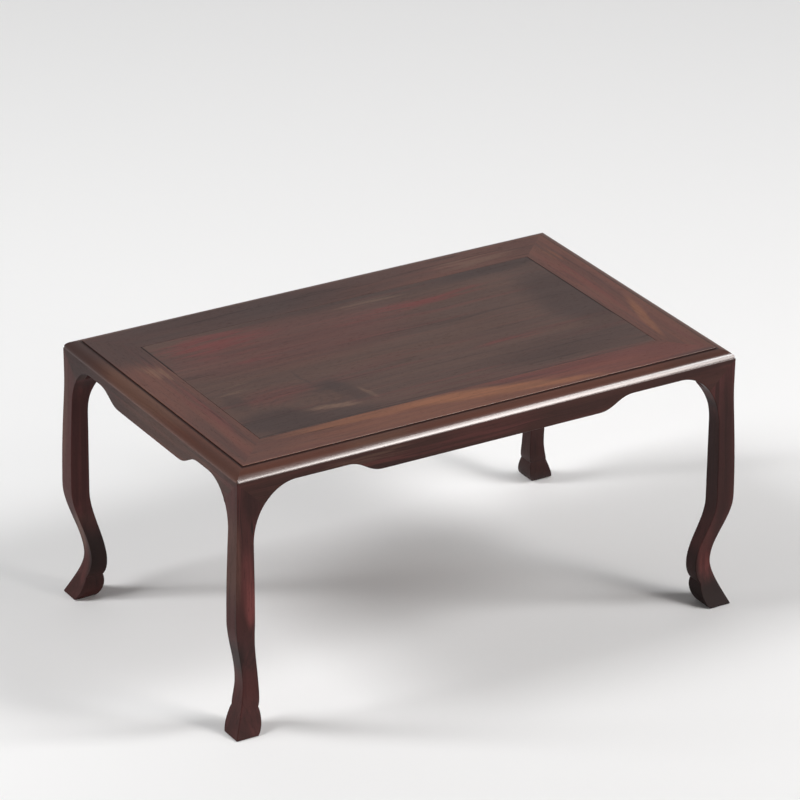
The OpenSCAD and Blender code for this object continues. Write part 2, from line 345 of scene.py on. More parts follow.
def mitre_z(z, size):
    """Height at which a round meets the mitre that falls at 45 degrees from the top corner."""
    w, h = size
    c = z["face"] - z["shaft_back"] - w
    d = z["end"] - h
    k = 1 / w ** 2 + 1 / h ** 2
    m = c / w ** 2 + d / h ** 2
    n = (c / w) ** 2 + (d / h) ** 2 - 1
    return (m + math.sqrt(m * m - k * n)) / k


def mitre_heights(scene):
    """Heights at which the long and the short round meet their mitres."""
    z, apron = levels(scene), scene.stand_aprons
    return [mitre_z(z, size) for size in (apron.long_round, apron.short_round)]


def quarter_turn(first):
    """Angles from the first one up to a right angle."""
    return [first + (QUARTER - first) * i / STEPS for i in range(STEPS + 1)]


def rail_outline(scene):
    """Cross-section of a frame member as (distance in, height)."""
    top, apron, z = scene.stand_top, scene.stand_aprons, levels(scene)
    centre, crown = z["face"] - top.mould_turn, top.height - top.mould_step
    first = math.asin(top.mould_turn / (crown - centre))
    spare = 0.8 * MM        # room for the panel to move in its groove
    groove = top.rail_width - top.tongue_length - spare
    groove_low, groove_high = z["panel"] - SLACK, z["panel"] + top.tongue_thick + SLACK
    return [(top.mould_width * (1 - math.cos(a)), centre + (crown - centre) * math.sin(a))
            for a in quarter_turn(first)] + [
        (top.mould_width, top.height), (top.rail_width, top.height), (top.rail_width, groove_high),
        (groove, groove_high), (groove, groove_low), (top.rail_width, groove_low),
        (top.rail_width, z["rail"]), (apron.thick + SLACK, z["rail"]),
        (apron.thick + SLACK, z["face"])]


def apron_outline(scene, length, lobe, size):
    """Outline of an apron as (distance along, height), from a top corner round its lower edge."""
    apron, z = scene.stand_aprons, levels(scene)
    w, h = size
    low = mitre_z(z, size)
    first = math.asin((low - z["end"] + h) / h)
    half = [Vector((0, z["face"]))]
    half += [Vector((z["shaft_back"] + w * (1 - math.cos(a)), z["end"] - h + h * math.sin(a)))
             for a in quarter_turn(first)]
    rise = Vector((length / 2 - lobe - apron.ogee, z["end"]))
    drop = Vector((length / 2 - lobe, z["lobe"]))
    ease = Vector((apron.ogee * 0.45, 0))
    half += curve(rise, rise + ease, drop - ease, drop) + [drop]
    return half + [Vector((length - p.x, p.y)) for p in reversed(half)]


def leg_edges(scene):
    """Face and back of a leg as two lists of (height, distance in), from the sole up.

    bend and toe are how far the curves are drawn on past their ends, drop is how much lower the
    back turns than the face, and swell is how far the heel stands out beside the nick.
    """
    leg, z = scene.stand_legs, levels(scene)
    top = min(mitre_heights(scene))
    bend, toe, drop, swell = 21 * MM, 12 * MM, 5 * MM, 1.4 * MM
    ankle, knee = (leg.ankle_z, leg.ankle_in), (leg.knee_z, -leg.knee_out)
    face = (curve((0, -leg.toe_out), (toe, 0.44 * toe - leg.toe_out),
                  (leg.ankle_z - toe, leg.ankle_in), ankle)
            + curve(ankle, (leg.ankle_z + bend, leg.ankle_in),
                    (leg.knee_z - bend, -leg.knee_out), knee)
            + curve(knee, ((leg.knee_z + top) / 2, -leg.knee_out), (top - bend, 0), (top, 0))
            + [Vector((top, 0)), Vector((z["face"], 0))])
    shaft, ankle_back, heel = z["shaft_back"], leg.ankle_in + leg.ankle_thick, leg.nick_in + swell
    ankle_z, knee_z = leg.ankle_z - drop, leg.knee_z - drop
    nick, ankle, knee = (leg.nick_z, leg.nick_in), (ankle_z, ankle_back), (knee_z, shaft)
    back = (curve((0, leg.sole - leg.toe_out), (leg.nick_z * 0.3, heel),
                  (leg.nick_z * 0.8, heel), nick)
            + curve(nick, (leg.nick_z + swell, heel),
                    ((ankle_z + leg.nick_z) / 2, ankle_back), ankle)
            + curve(ankle, (ankle_z + bend, ankle_back), (knee_z - bend, shaft), knee)
            + [Vector(knee), Vector((z["face"], shaft))])
    return face, back


def at_height(points, height):
    """Distance in at a height, between the points of an edge."""
    for a, b in zip(points, points[1:]):
        if a.x <= height <= b.x and b.x > a.x:
            return a.y + (b.y - a.y) * (height - a.x) / (b.x - a.x)
    return points[-1].y if height > points[-1].x else points[0].y


def round_in(z, size, height, back):
    """Distance in at a height, with the round that flares towards the apron."""
    w, h = size
    height = min(height, mitre_z(z, size))
    share = (height - z["end"] + h) / h
    return back if share <= 0 else z["shaft_back"] + w * (1 - math.sqrt(1 - share * share))


# ---- pieces ----

def leg_seat(scene):
    """A cutter for the leg's head under the front left corner of the frame."""
    top, z = scene.stand_top, levels(scene)
    reach_x, reach_y = (z["face"] - height + SLACK for height in mitre_heights(scene))
    x, y = -top.length / 2, -top.width / 2
    corners = [(x - OVER, y - OVER), (x + reach_x, y - OVER), (x + reach_x, y + reach_y),
               (x - OVER, y + reach_y)]
    return trace("seat", [(a, b, z["rail"] - OVER) for a, b in corners],
                 (0, 0, z["face"] - z["rail"] + OVER))


def corner_plug(scene):
    """A cutter that rounds the front left corner of the frame, seen from above."""
    top, r = scene.stand_top, scene.stand_top.corner_round
    x, y, low = -top.length / 2, -top.width / 2, levels(scene)["rail"] - OVER
    turns = [math.radians(90 - 90 / CORNER_STEPS * i) for i in range(CORNER_STEPS + 1)]
    corners = ([(x - OVER, y - OVER), (x + r, y - OVER)]
               + [(x + r * (1 - math.cos(a)), y + r * (1 - math.sin(a))) for a in turns]
               + [(x - OVER, y + r)])
    return trace("plug", [(a, b, low) for a, b in corners], (0, 0, top.rail_thick + 2 * OVER))


def cut_corners(scene, member, across_x, across_y):
    """Houses the legs' heads in both ends of a frame member and rounds its outer corners."""
    for make in (leg_seat, corner_plug):
        take_out(member, make(scene))
        cutter = make(scene)
        take_out(member, mirrored(cutter, "other_" + cutter.name, across_x, across_y), cutter)


def rail_share(scene):
    """How much each edge of a frame member is softened."""
    top = scene.stand_top

    def share(a, b):
        inwards = [min(top.length / 2 - abs(p.x), top.width / 2 - abs(p.y)) for p in (a, b)]
        if min(a.z, b.z) > top.height - TOUCH:
            for place, much in ((top.mould_width, 1), (top.rail_width, 0.3)):
                if all(abs(d - place) < TOUCH for d in inwards):
                    return much
        return 0
    return share


@operator
class STAND_OT_frame(bpy.types.Operator):
    """Models the four mitred frame members with their moulded edge"""
    bl_idname = "stand.frame"
    bl_label = "Frame members"

    def execute(self, context):
        scene = context.scene
        top = scene.stand_top
        outline = rail_outline(scene)
        x, y = top.length / 2, top.width / 2

        long = trace("front_frame_member", [(-x, d - y, h) for d, h in outline], (top.length, 0, 0))
        mitre(x, y, True)
        cut_corners(scene, long, True, False)
        soften(long, top.top_arris, rail_share(scene))

        short = trace("left_frame_member", [(d - x, -y, h) for d, h in outline], (0, top.width, 0))
        mitre(x, y, False)
        cut_corners(scene, short, False, True)
        soften(short, top.top_arris, rail_share(scene))

        finish_four(scene, long, short, "frame_member", "frame", member_wood)
        return {"FINISHED"}


@operator
class STAND_OT_panel(bpy.types.Operator):
    """Models the floating panel with its tongue and its two dovetail housings"""
    bl_idname = "stand.panel"
    bl_label = "Panel"

    def execute(self, context):
        scene = context.scene
        top, z = scene.stand_top, levels(scene)
        x, y = top.length / 2 - top.rail_width, top.width / 2 - top.rail_width
        inner_x, inner_y = x - top.end_gap, y - top.side_gap
        low = z["panel"]
        corners = [(-inner_x, -inner_y, low), (inner_x, -inner_y, low), (inner_x, inner_y, low),
                   (-inner_x, inner_y, low)]
        panel = trace("flat_panel", corners, (0, 0, top.tongue_thick))
        select_faces(panel, lambda face: face.normal.z > FACING)
        pull((0, 0, top.panel_thick - top.tongue_thick))
        tongue_top = low + top.tongue_thick
        reaches = (x + top.tongue_length - inner_x, y + top.tongue_length - inner_y)
        for axis, reach in enumerate(reaches):
            for sign in (-1, 1):
                select_faces(panel, lambda face: face.normal[axis] * sign > FACING
                             and face.calc_center_median().z < tongue_top)
                pull([sign * reach if i == axis else 0 for i in range(3)])

        # a brace's dovetail: half its width at the root, its flare, its depth and its place
        root, flare, depth, place = 4 * MM + SLACK, MM, 3 * MM + SLACK, 100 * MM
        section = [(-root, -OVER), (root, -OVER), (root, 0), (root + flare, depth),
                   (-root - flare, depth), (-root, 0)]
        for middle in (-place, place):
            points = [(middle + a, -top.width / 2, low + h) for a, h in section]
            take_out(panel, trace("housing", points, (0, top.width, 0)))
        crown = top.height - TOUCH
        soften(panel, top.top_arris, lambda a, b: 0.7 if min(a.z, b.z) > crown else 0.3)
        finish_piece(panel, "top_panel", panel_wood(scene))
        return {"FINISHED"}


@operator
class STAND_OT_braces(bpy.types.Operator):
    """Gives the two braces under the panel their planed, unpolished wood"""
    bl_idname = "stand.braces"
    bl_label = "Braces"

    def execute(self, context):
        for node in ("brace_left", "brace_right"):
            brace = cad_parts[node]
            brace.data.materials.clear()
            brace.data.materials.append(brace_wood(context.scene, node))
        return {"FINISHED"}


@operator
class STAND_OT_aprons(bpy.types.Operator):
    """Models the four shaped aprons"""
    bl_idname = "stand.aprons"
    bl_label = "Aprons"

    def execute(self, context):
        scene = context.scene
        top, apron, z = scene.stand_top, scene.stand_aprons, levels(scene)
        x, y = top.length / 2, top.width / 2

        def share_along(axis):
            """All of the width on free arrises, none in mitres, across the ends and on top."""
            def share(a, b):
                inwards = [(x, y)[axis] - abs(p[axis]) for p in (a, b)]
                depth = [(x, y)[1 - axis] - abs(p[1 - axis]) for p in (a, b)]
                in_mitre = all(abs(d - z["face"] + p.z) < NEAR for d, p in zip(inwards, (a, b)))
                corner = all(abs(d - e) < NEAR for d, e in zip(inwards, depth))
                across = abs(depth[0] - depth[1]) > NEAR
                on_top = max(a.z, b.z) > z["face"] - TOUCH
                return 0 if in_mitre or corner or across or on_top else 1
            return share

        outline = apron_outline(scene, top.length, apron.long_lobe, apron.long_round)
        long = trace("front_apron", [(p.x - x, -y, p.y) for p in outline], (0, apron.thick, 0))
        mitre(x, y, True)
        soften(long, apron.arris, share_along(0))

        outline = apron_outline(scene, top.width, apron.short_lobe, apron.short_round)
        short = trace("left_apron", [(-x, y - p.x, p.y) for p in outline], (apron.thick, 0, 0))
        mitre(x, y, False)
        soften(short, apron.arris, share_along(1))

        finish_four(scene, long, short, "apron", "apron", apron_wood)
        return {"FINISHED"}


@operator
class STAND_OT_legs(bpy.types.Operator):
    """Models one leg, ring by ring from the sole up, and copies it to the four corners"""
    bl_idname = "stand.legs"
    bl_label = "Legs"

    def execute(self, context):
        scene = context.scene
        top, apron, leg, z = scene.stand_top, scene.stand_aprons, scene.stand_legs, levels(scene)
        corner = Vector((-top.length / 2, -top.width / 2, 0))
        face, back = leg_edges(scene)
        ring, beside_nick, closest = 2.5 * MM, 1.2 * MM, 0.3 * MM
        wanted = [i * ring for i in range(int(z["face"] / ring) + 1)]
        wanted += [leg.nick_z - beside_nick, leg.nick_z, leg.nick_z + beside_nick, z["face"],
                   *mitre_heights(scene)]
        heights = sorted({round(h, 6) for h in wanted})
        heights = [h for i, h in enumerate(heights)
                   if i == 0 or h - heights[i - 1] > closest or h == z["face"]]

        def section(height):
            outer, inner = at_height(face, height), at_height(back, height)
            return (outer, round_in(z, apron.long_round, height, inner),
                    round_in(z, apron.short_round, height, inner))

        def spread(outer, height, wide, deep):
            bpy.ops.transform.resize(value=(wide, deep, 1),
                                     center_override=tuple(corner + Vector((outer, outer, height))))

        outer, reach_x, reach_y = section(0)
        piece = start("front_left_leg", corner + Vector((outer, outer, 0)))
        spread(outer, 0, (reach_x - outer) / MM, (reach_y - outer) / MM)
        bpy.ops.transform.translate(value=((reach_x - outer) / 2, (reach_y - outer) / 2, 0))
        height = 0
        for level in heights[1:]:
            new_outer, new_x, new_y = section(level)
            pull((new_outer - outer, new_outer - outer, level - height))
            spread(new_outer, level, (new_x - new_outer) / (reach_x - outer),
                   (new_y - new_outer) / (reach_y - outer))
            outer, reach_x, reach_y, height = new_outer, new_x, new_y, level
        turn_outwards()

        # the head is mitred at 45 degrees on both sides, where the aprons meet it
        far, out = 40 * MM, 8 * MM
        wedge = [(-OVER, z["face"] + OVER), (far, z["face"] - far), (far, z["face"] + OVER)]
        front = [corner + Vector((a, -out, h)) for a, h in wedge]
        side = [corner + Vector((-out, a, h)) for a, h in wedge]
        take_out(piece, trace("wedge", front, (0, out + apron.thick, 0)))
        take_out(piece, trace("wedge", side, (out + apron.thick, 0, 0)))

        end, tip, thinning = min(mitre_heights(scene)), 12 * MM, 60 * MM

        def share(a, b):
            """The corner arris thins out towards the mitre's tip, the others towards the aprons."""
            low, high = min(a.z, b.z), max(a.z, b.z)
            if high < TOUCH:
                return 1
            if high - low < 0.5 * (a - b).length:
                return 0
            ins = [(p.x - corner.x, p.y - corner.y) for p in (a, b)]
            if all(abs(i - j) < NEAR and i < leg.ankle_in + MM for i, j in ins):
                return min(1, max(0, (z["face"] - high) / tip))
            return 0 if high > end + TOUCH else min(1, 0.75 + (end - high) / thinning)

        soften(piece, leg.arris, share)
        pieces = [(piece, "leg_front_left"),
                  (mirrored(piece, "front_right_leg", True, False), "leg_front_right"),
                  (mirrored(piece, "back_left_leg", False, True), "leg_back_left"),
                  (mirrored(piece, "back_right_leg", True, True), "leg_back_right")]
        for made, node in pieces:
            finish_piece(made, node, leg_wood(scene, node))
        return {"FINISHED"}


# ---- woods ----

SMOOTH = {"interpolation_type": "SMOOTHSTEP"}
# how strongly the layers of the wood colour it
BAND, FLAME, STRIPE, LINE, PORE = 0.42, 0.30, 0.30, 0.55, 0.35


def new_material(name):
    material = bpy.data.materials.new(name)
    material.use_nodes = True
    material.node_tree.nodes.clear()
    return material


def add_node(tree, kind, inputs, **settings):
    """Adds a shader node with its settings; an input is another node's output or a fixed value."""
    made = tree.nodes.new("ShaderNode" + kind)
    for key, value in settings.items():
        setattr(made, key, value)
    for key, value in inputs.items():
        if isinstance(value, bpy.types.NodeSocket):
            tree.links.new(value, made.inputs[key])
        else:
            made.inputs[key].default_value = value
    return made


def streaks(tree, grain, seed, along, across, low, high, detail):
    """Streaks with the grain, 0 to 1: length and width in millimetres, and where they fade in."""
    stretch = (1000 / along, 1000 / across, 1000 / across)
    squeezed = add_node(tree, "VectorMath", {0: grain, 1: stretch}, operation="MULTIPLY")
    noise = add_node(tree, "TexNoise", {"Vector": squeezed.outputs[0], "W": seed, "Scale": 1.0,
                                        "Detail": detail}, noise_dimensions="4D")
    return add_node(tree, "MapRange", {0: noise.outputs[0], 1: low, 2: high}, **SMOOTH).outputs[0]


def patch(tree, grain, broken, centre, half, turn=0, torn=False):
    """A soft patch of figure, and on some legs of painted shade, 1 in its middle: its centre and
    half sizes in millimetres along and across the grain, its turn in degrees, and whether the
    broken streaks tear it."""
    spot = add_node(tree, "Mapping", {
        "Vector": grain, "Location": (centre[0] * MM, centre[1] * MM, 0),
        "Rotation": (0, 0, math.radians(turn)), "Scale": (half[0] * MM, half[1] * MM, 10)},
                    vector_type="TEXTURE").outputs[0]
    inside = add_node(tree, "TexGradient", {"Vector": spot}, gradient_type="SPHERICAL").outputs[1]
    low, high = 0.02, 0.6
    if torn:
        inside = add_node(tree, "Math", {0: broken, 1: 0.8, 2: inside},
                          operation="MULTIPLY_ADD").outputs[0]
        low, high = 0.75, 1.45
    return add_node(tree, "MapRange", {0: inside, 1: low, 2: high}, **SMOOTH).outputs[0]


def zone(tree, place, axis, low, high):
    """A side of a soft border across a direction: 0 at low and 1 at high."""
    part = add_node(tree, "SeparateXYZ", {0: place}).outputs[axis]
    return add_node(tree, "MapRange", {0: part, 1: low, 2: high}, **SMOOTH).outputs[0]


def overlap(tree, mask, *others):
    """Where all masks are: the product of a mask with others and with plain numbers."""
    for other in others:
        mask = add_node(tree, "Math", {0: mask, 1: other}, operation="MULTIPLY").outputs[0]
    return mask


def stain(tree, colour, masks, towards):
    """Stains a colour with another where all of the masks are."""
    return add_node(tree, "Mix", {0: overlap(tree, *masks), 6: colour, 7: (*towards, 1)},
                    data_type="RGBA").outputs[2]


def rosewood(scene, name, ground, turn, seed, figure_and_shade=(), extra=None,
             ragged=(0.03, 0.006, 0.0), shift=(0, 0, 0), bands="smoke", sheen=0.18, dull=0.0):
    """Oiled rosewood, sawn along the member, planed, scraped and rubbed to a satin.

    turn and shift bring the grain to run along the member's own first direction. The list of
    patches holds the figure of this very board, and on some legs patches of painted shade; ragged
    is how far their edges drift, and extra adds what only this piece has. bands is the colour of
    its dark bands, sheen how much the surface mirrors and dull how much less it was rubbed.
    """
    finish = scene.stand_finish
    dark = getattr(finish, bands)
    material = new_material(name)
    tree = material.node_tree
    place = add_node(tree, "TexCoord", {}).outputs["Object"]
    along = add_node(tree, "Mapping", {"Vector": place, "Rotation": turn,
                                       "Location": shift}).outputs[0]

    # the tree never grew straight: the grain wanders 4 mm over about 90 mm
    wander = add_node(tree, "TexNoise", {"Vector": along, "W": seed, "Scale": 11.0, "Detail": 1.0},
                      noise_dimensions="4D").outputs["Color"]
    grain = add_node(tree, "VectorMath", {0: wander, 1: (0.0, 0.008, 0.008), 2: along},
                     operation="MULTIPLY_ADD").outputs[0]

    # broad dark bands of late growth, 14 mm wide, and finer ones of 3 mm that give the striped look
    broad = streaks(tree, grain, seed + 1, 260, 14, 0.38, 0.66, 3.0)
    fine = streaks(tree, grain, seed + 2, 150, 3.2, 0.44, 0.66, 3.0)
    # the thin black lines of the heartwood, under a millimetre wide and gathered in the dark bands
    ink = streaks(tree, grain, seed + 3, 190, 1.9, 0.585, 0.68, 1.5)
    # pores: 0.15 mm in the wood, drawn 0.35 mm wide and 5 mm long so that they hold at this size
    pores = streaks(tree, along, seed + 4, 5.0, 0.35, 0.60, 0.70, 1.0)
    # red flames 6 mm wide, and the streaks of 3 mm that tear some patches of the figure
    flames = streaks(tree, grain, seed + 5, 210, 6, 0.52, 0.72, 2.0)
    broken = streaks(tree, grain, seed + 6, 60, 3.0, 0.32, 0.62, 2.5)

    colour = stain(tree, (*ground, 1), (broad, BAND), dark)
    colour = stain(tree, colour, (flames, FLAME), finish.red)
    # the edges of the patches drift, half of the ragged reach to each side
    drift = add_node(tree, "TexNoise", {"Vector": along, "W": seed + 10, "Scale": 28.0,
                                        "Detail": 3.0}, noise_dimensions="4D").outputs["Color"]
    drift = add_node(tree, "VectorMath", {0: drift, 1: ragged, 2: along}, operation="MULTIPLY_ADD")
    drift = add_node(tree, "VectorMath", {0: drift.outputs[0], 1: [d / 2 for d in ragged]},
                     operation="SUBTRACT").outputs[0]
    # patches of figure, and on some legs patches of painted shade
    for shade, strength, *spot in figure_and_shade:
        mask = patch(tree, drift, broken, *spot)
        colour = stain(tree, colour, (mask, strength), getattr(finish, shade))
    colour = stain(tree, colour, (fine, STRIPE), dark)
    colour = stain(tree, colour, (ink, broad, LINE), finish.ink)
    colour = stain(tree, colour, (pores, PORE), finish.ink)

    # the oil dries dull in the pores, and the palm of the hand polishes the rest unevenly
    rub = streaks(tree, along, seed + 7, 90, 40, 0.3, 0.7, 1.0)
    rough = finish.roughness + dull
    rough = add_node(tree, "MapRange", {0: rub, 3: rough - 0.03, 4: rough + 0.04}).outputs[0]
    rough = add_node(tree, "Math", {0: pores, 1: 0.2, 2: rough},
                     operation="MULTIPLY_ADD").outputs[0]
    # pores and the faint waves that the scraper leaves, 9 mm wide and 0.06 mm deep
    waves = streaks(tree, grain, seed + 8, 60, 9, 0.2, 0.8, 1.0)
    height = add_node(tree, "Math", {0: waves, 1: pores}, operation="SUBTRACT").outputs[0]
    bump = add_node(tree, "Bump", {"Height": height, "Strength": 0.25, "Distance": 0.06 * MM})

    more = {}
    if extra:
        colour, more = extra(tree, along, grain, colour, seed)
    shader = add_node(tree, "BsdfPrincipled", {
        "Specular IOR Level": sheen, "Coat Roughness": 0.20, "Coat Weight": 0.0, "Coat IOR": 2.2,
        "Roughness": rough, "Normal": bump.outputs[0], "Base Color": colour, **more})
    add_node(tree, "OutputMaterial", {"Surface": shader.outputs[0]})
    return material


def moulded_edge(scene, burnish, smoky):
    """What the frame members have more: a dark line of painted shade just below the step, an arris
    above it lightened partly by wear and partly by a painted highlight, and a moulding that hands
    have darkened and burnished, with smoke at its far end."""
    finish, top = scene.stand_finish, scene.stand_top
    step, crown = top.mould_width, top.height

    def extra(tree, along, grain, colour, seed):
        edge = zone(tree, along, "Y", step - 0.1 * MM, step - 0.3 * MM)
        colour = stain(tree, colour, (edge, 0.55), finish.moulding)
        # smoke stays at the end that nobody rubs
        end = zone(tree, along, "X", -60 * MM, -135 * MM)
        colour = stain(tree, colour, (end, smoky, edge), finish.smoke)
        # painted shade: a dark band on the moulding in the last 1.2 to 2.6 mm before the step, just
        # below it
        wax_and_shade = zone(tree, along, "Y", step - 2.6 * MM, step - 1.2 * MM)
        below = zone(tree, along, "Z", crown - 0.2 * MM, crown - 0.45 * MM)
        colour = stain(tree, colour, (wax_and_shade, below, 0.9), finish.shade)
        # the arris is lightened in streaks 8 mm wide, partly wood rubbed through and partly a
        # painted highlight
        inside = zone(tree, along, "Y", step + 0.9 * MM, step + 0.2 * MM)
        above = zone(tree, along, "Z", crown - 0.35 * MM, crown - 0.15 * MM)
        arris = overlap(tree, inside, above, math.sqrt(burnish))
        wear_and_highlight = streaks(tree, along, seed + 9, 40, 8, 0.35, 0.6, 2.0)
        colour = stain(tree, colour, (arris, wear_and_highlight, 0.45), finish.straw)
        # the palm rubs low on the round at the left end and reaches further up it towards the right
        split = add_node(tree, "SeparateXYZ", {0: along}).outputs
        reach = add_node(tree, "MapRange", {0: split["X"], 1: -0.22, 2: 0.22, 3: 1.5, 4: 0.75})
        palm = overlap(tree, split["Y"], reach.outputs[0])
        palm = add_node(tree, "MapRange", {0: palm, 1: 2.6 * MM, 2: 0.2 * MM}, **SMOOTH).outputs[0]
        gloss = add_node(tree, "Math", {0: overlap(tree, palm, burnish),
                                        1: overlap(tree, arris, 0.15)}, operation="MAXIMUM")
        return colour, {"Coat Weight": gloss.outputs[0]}
    return extra


# The figure of each board, where the photograph has it: colour, strength, centre and half sizes in
# millimetres, a turn in degrees and whether it is torn. Places are along and inwards on the
# members, along and across from the middle of the panel, along and minus the height on the aprons,
# and height and place to the side on the legs, but height and depth on the back left one.
# some patches on the legs are painted shade, not figure; they are marked below
FIGURE_AND_SHADE = {
    "frame_front": (
        ("straw", 0.26, (20, 24), (270, 22)), ("red", 0.55, (150, 30), (120, 26), -4),
        ("straw", 0.6, (-92, 42), (125, 9), -1), ("straw", 0.95, (8, 33), (95, 11), -8),
        ("red", 0.5, (62, 42), (60, 7), -6), ("smoke", 0.2, (64, 40), (60, 2.5), -12),
        ("smoke", 0.35, (-150, 22), (60, 6), -3, True), ("straw", 0.75, (66, 22), (64, 6), -7),
        ("smoke", 0.35, (140, 24), (46, 7), -5, True), ("smoke", 0.18, (184, 30), (40, 14)),
        ("pale", 0.5, (-105, 6), (48, 8)), ("smoke", 0.7, (220, 6), (70, 14))),
    "frame_back": (
        ("smoke", 0.78, (130, 30), (190, 44)), ("smoke", 0.45, (0, 30), (130, 36), 2),
        ("pale", 0.4, (-150, 31), (60, 15), 3, True), ("smoke", 0.25, (-202, 22), (34, 14))),
    "frame_left": (
        ("smoke", 0.72, (-112, 34), (62, 80), 14), ("smoke", 0.38, (85, 19), (85, 9)),
        ("straw", 0.45, (-47, 39), (30, 13), 24, True),
        ("pale", 0.45, (-47, 39), (30, 13), 24, True),
        ("red", 0.45, (40, 36), (70, 12), 3, True), ("smoke", 0.3, (105, 42), (60, 9), 2, True),
        ("pale", 0.6, (-25, 6), (95, 9)), ("smoke", 0.6, (-140, 6), (60, 12)),
        ("smoke", 0.35, (108, 3), (66, 7))),
    "frame_right": (
        ("straw", 0.6, (-52, 29), (56, 6), -13), ("red", 0.45, (30, 30), (90, 24), 0, True),
        ("smoke", 0.35, (40, 40), (70, 7), 3, True), ("straw", 0.35, (95, 27), (30, 7), 5, True)),
    "top_panel": (
        ("red", 0.3, (-80, 50), (170, 60)), ("red", 0.95, (-131, 78), (75, 34), 2, True),
        ("red", 0.7, (-119, 34), (34, 8), 2, True), ("red", 0.85, (45, 64), (110, 12), 3, True),
        ("pale", 0.45, (25, 87), (46, 7), 2, True), ("smoke", 0.75, (178, 15), (46, 90)),
        ("smoke", 0.85, (160, 97), (100, 16), 2), ("smoke", 0.45, (-30, 99), (140, 9), 1),
        ("red", 0.3, (-140, -38), (40, 24)), ("smoke", 0.45, (-176, -34), (14, 26)),
        ("smoke", 0.85, (-162, -80), (44, 30), -6), ("smoke", 0.75, (-94, -47), (22, 30), 24, True),
        ("smoke", 0.55, (-84, -56), (17, 34), 14), ("smoke", 0.65, (-126, -94), (70, 15)),
        ("pale", 0.75, (-112, -78), (30, 6), -9, True), ("pale", 0.45, (-69, -68), (4, 16), 10),
        ("pale", 0.6, (-168, -4), (34, 4), 3, True), ("pale", 0.55, (-163, -15), (30, 4), 4, True),
        ("smoke", 0.5, (-107, -18), (2.5, 22), 3), ("smoke", 0.42, (125, -70), (110, 34), 2),
        ("red", 0.6, (82, -38), (50, 8), 2, True)),
    "apron_front": (
        ("pale", 0.22, (-122, -225), (58, 9), -2, True), ("shade", 0.6, (-104, -215), (46, 4)),
        ("shade", 0.25, (196, -225), (48, 9)), ("red", 0.16, (0, -226), (60, 12))),
    "apron_left": (
        ("pale", 0.17, (-42, -224), (120, 20)), ("shade", 0.6, (122, -224), (42, 16))),
    "leg_front_left": (
        ("red", 0.45, (142, -232), (38, 9)), ("red", 1.0, (124, -229), (30, 7)),
        ("ink", 0.8, (190, -227), (9, 1.5)), ("shade", 0.5, (75, -226), (34, 8), 0, True),
        ("shade", 1.0, (58, -238), (40, 9)), ("shade", 0.7, (214, -226), (28, 12)),
        ("pale", 0.2, (162, -241), (54, 5))),
    # painted shade on this leg: the ink low on its inner side at (28, 213) and the shade high on it
    # at (204, 222.5)
    "leg_front_right": (
        ("red", 0.6, (34, 228), (24, 12), 0, True), ("shade", 0.8, (150, 232), (90, 5), 0, True),
        ("shade", 0.7, (135, 232), (120, 14)), ("ink", 0.6, (28, 213), (44, 7)),
        ("shade", 0.8, (204, 222.5), (26, 3)), ("ink", 0.9, (5, 230), (30, 30))),
    # painted shade: ink over the lower part of the whole leg
    "leg_back_right": (("ink", 0.6, (30, 230), (120, 60)),),
    # painted shade: the two ink patches on the inner face
    "leg_back_left": (
        ("ink", 0.85, (56, 122), (70, 11)), ("ink", 0.5, (150, 131), (90, 4)),
        ("pale", 0.45, (62, 136), (26, 6)), ("pale", 0.24, (172, 147), (70, 6))),
}

# a member's side, its grain's turn and seed, how much it is rubbed, and the smoke on its end
MEMBERS = {
    "frame_front": ("front", 0, 3.1, 1.0, 0.0),
    "frame_back": ("back", 2 * QUARTER, 17.4, 1.0, 0.0),
    "frame_left": ("left", QUARTER, 8.7, 0.08, 0.75),
    "frame_right": ("right", -QUARTER, 23.9, 1.0, 0.0),
}
# the seeds of the other pieces' grain
SEEDS = {"brace_left": 60.0, "brace_right": 66.0,
         "apron_front": 70.0, "apron_back": 75.0, "apron_left": 80.0, "apron_right": 85.0,
         "leg_front_left": 90.0, "leg_front_right": 97.0,
         "leg_back_left": 104.0, "leg_back_right": 111.0}


def member_wood(scene, node):
    """Frame stock is sawn along the member, so its grain turns the corner at each mitre."""
    side, turn, seed, burnish, smoky = MEMBERS[node]
    across = scene.stand_top.width if side in ("front", "back") else scene.stand_top.length
    return rosewood(scene, "oiled_rosewood_%s_member" % side, scene.stand_finish.frame_wood,
                    (0, 0, turn), seed, FIGURE_AND_SHADE[node], moulded_edge(scene, burnish, smoky),
                    shift=(0, across / 2, 0))


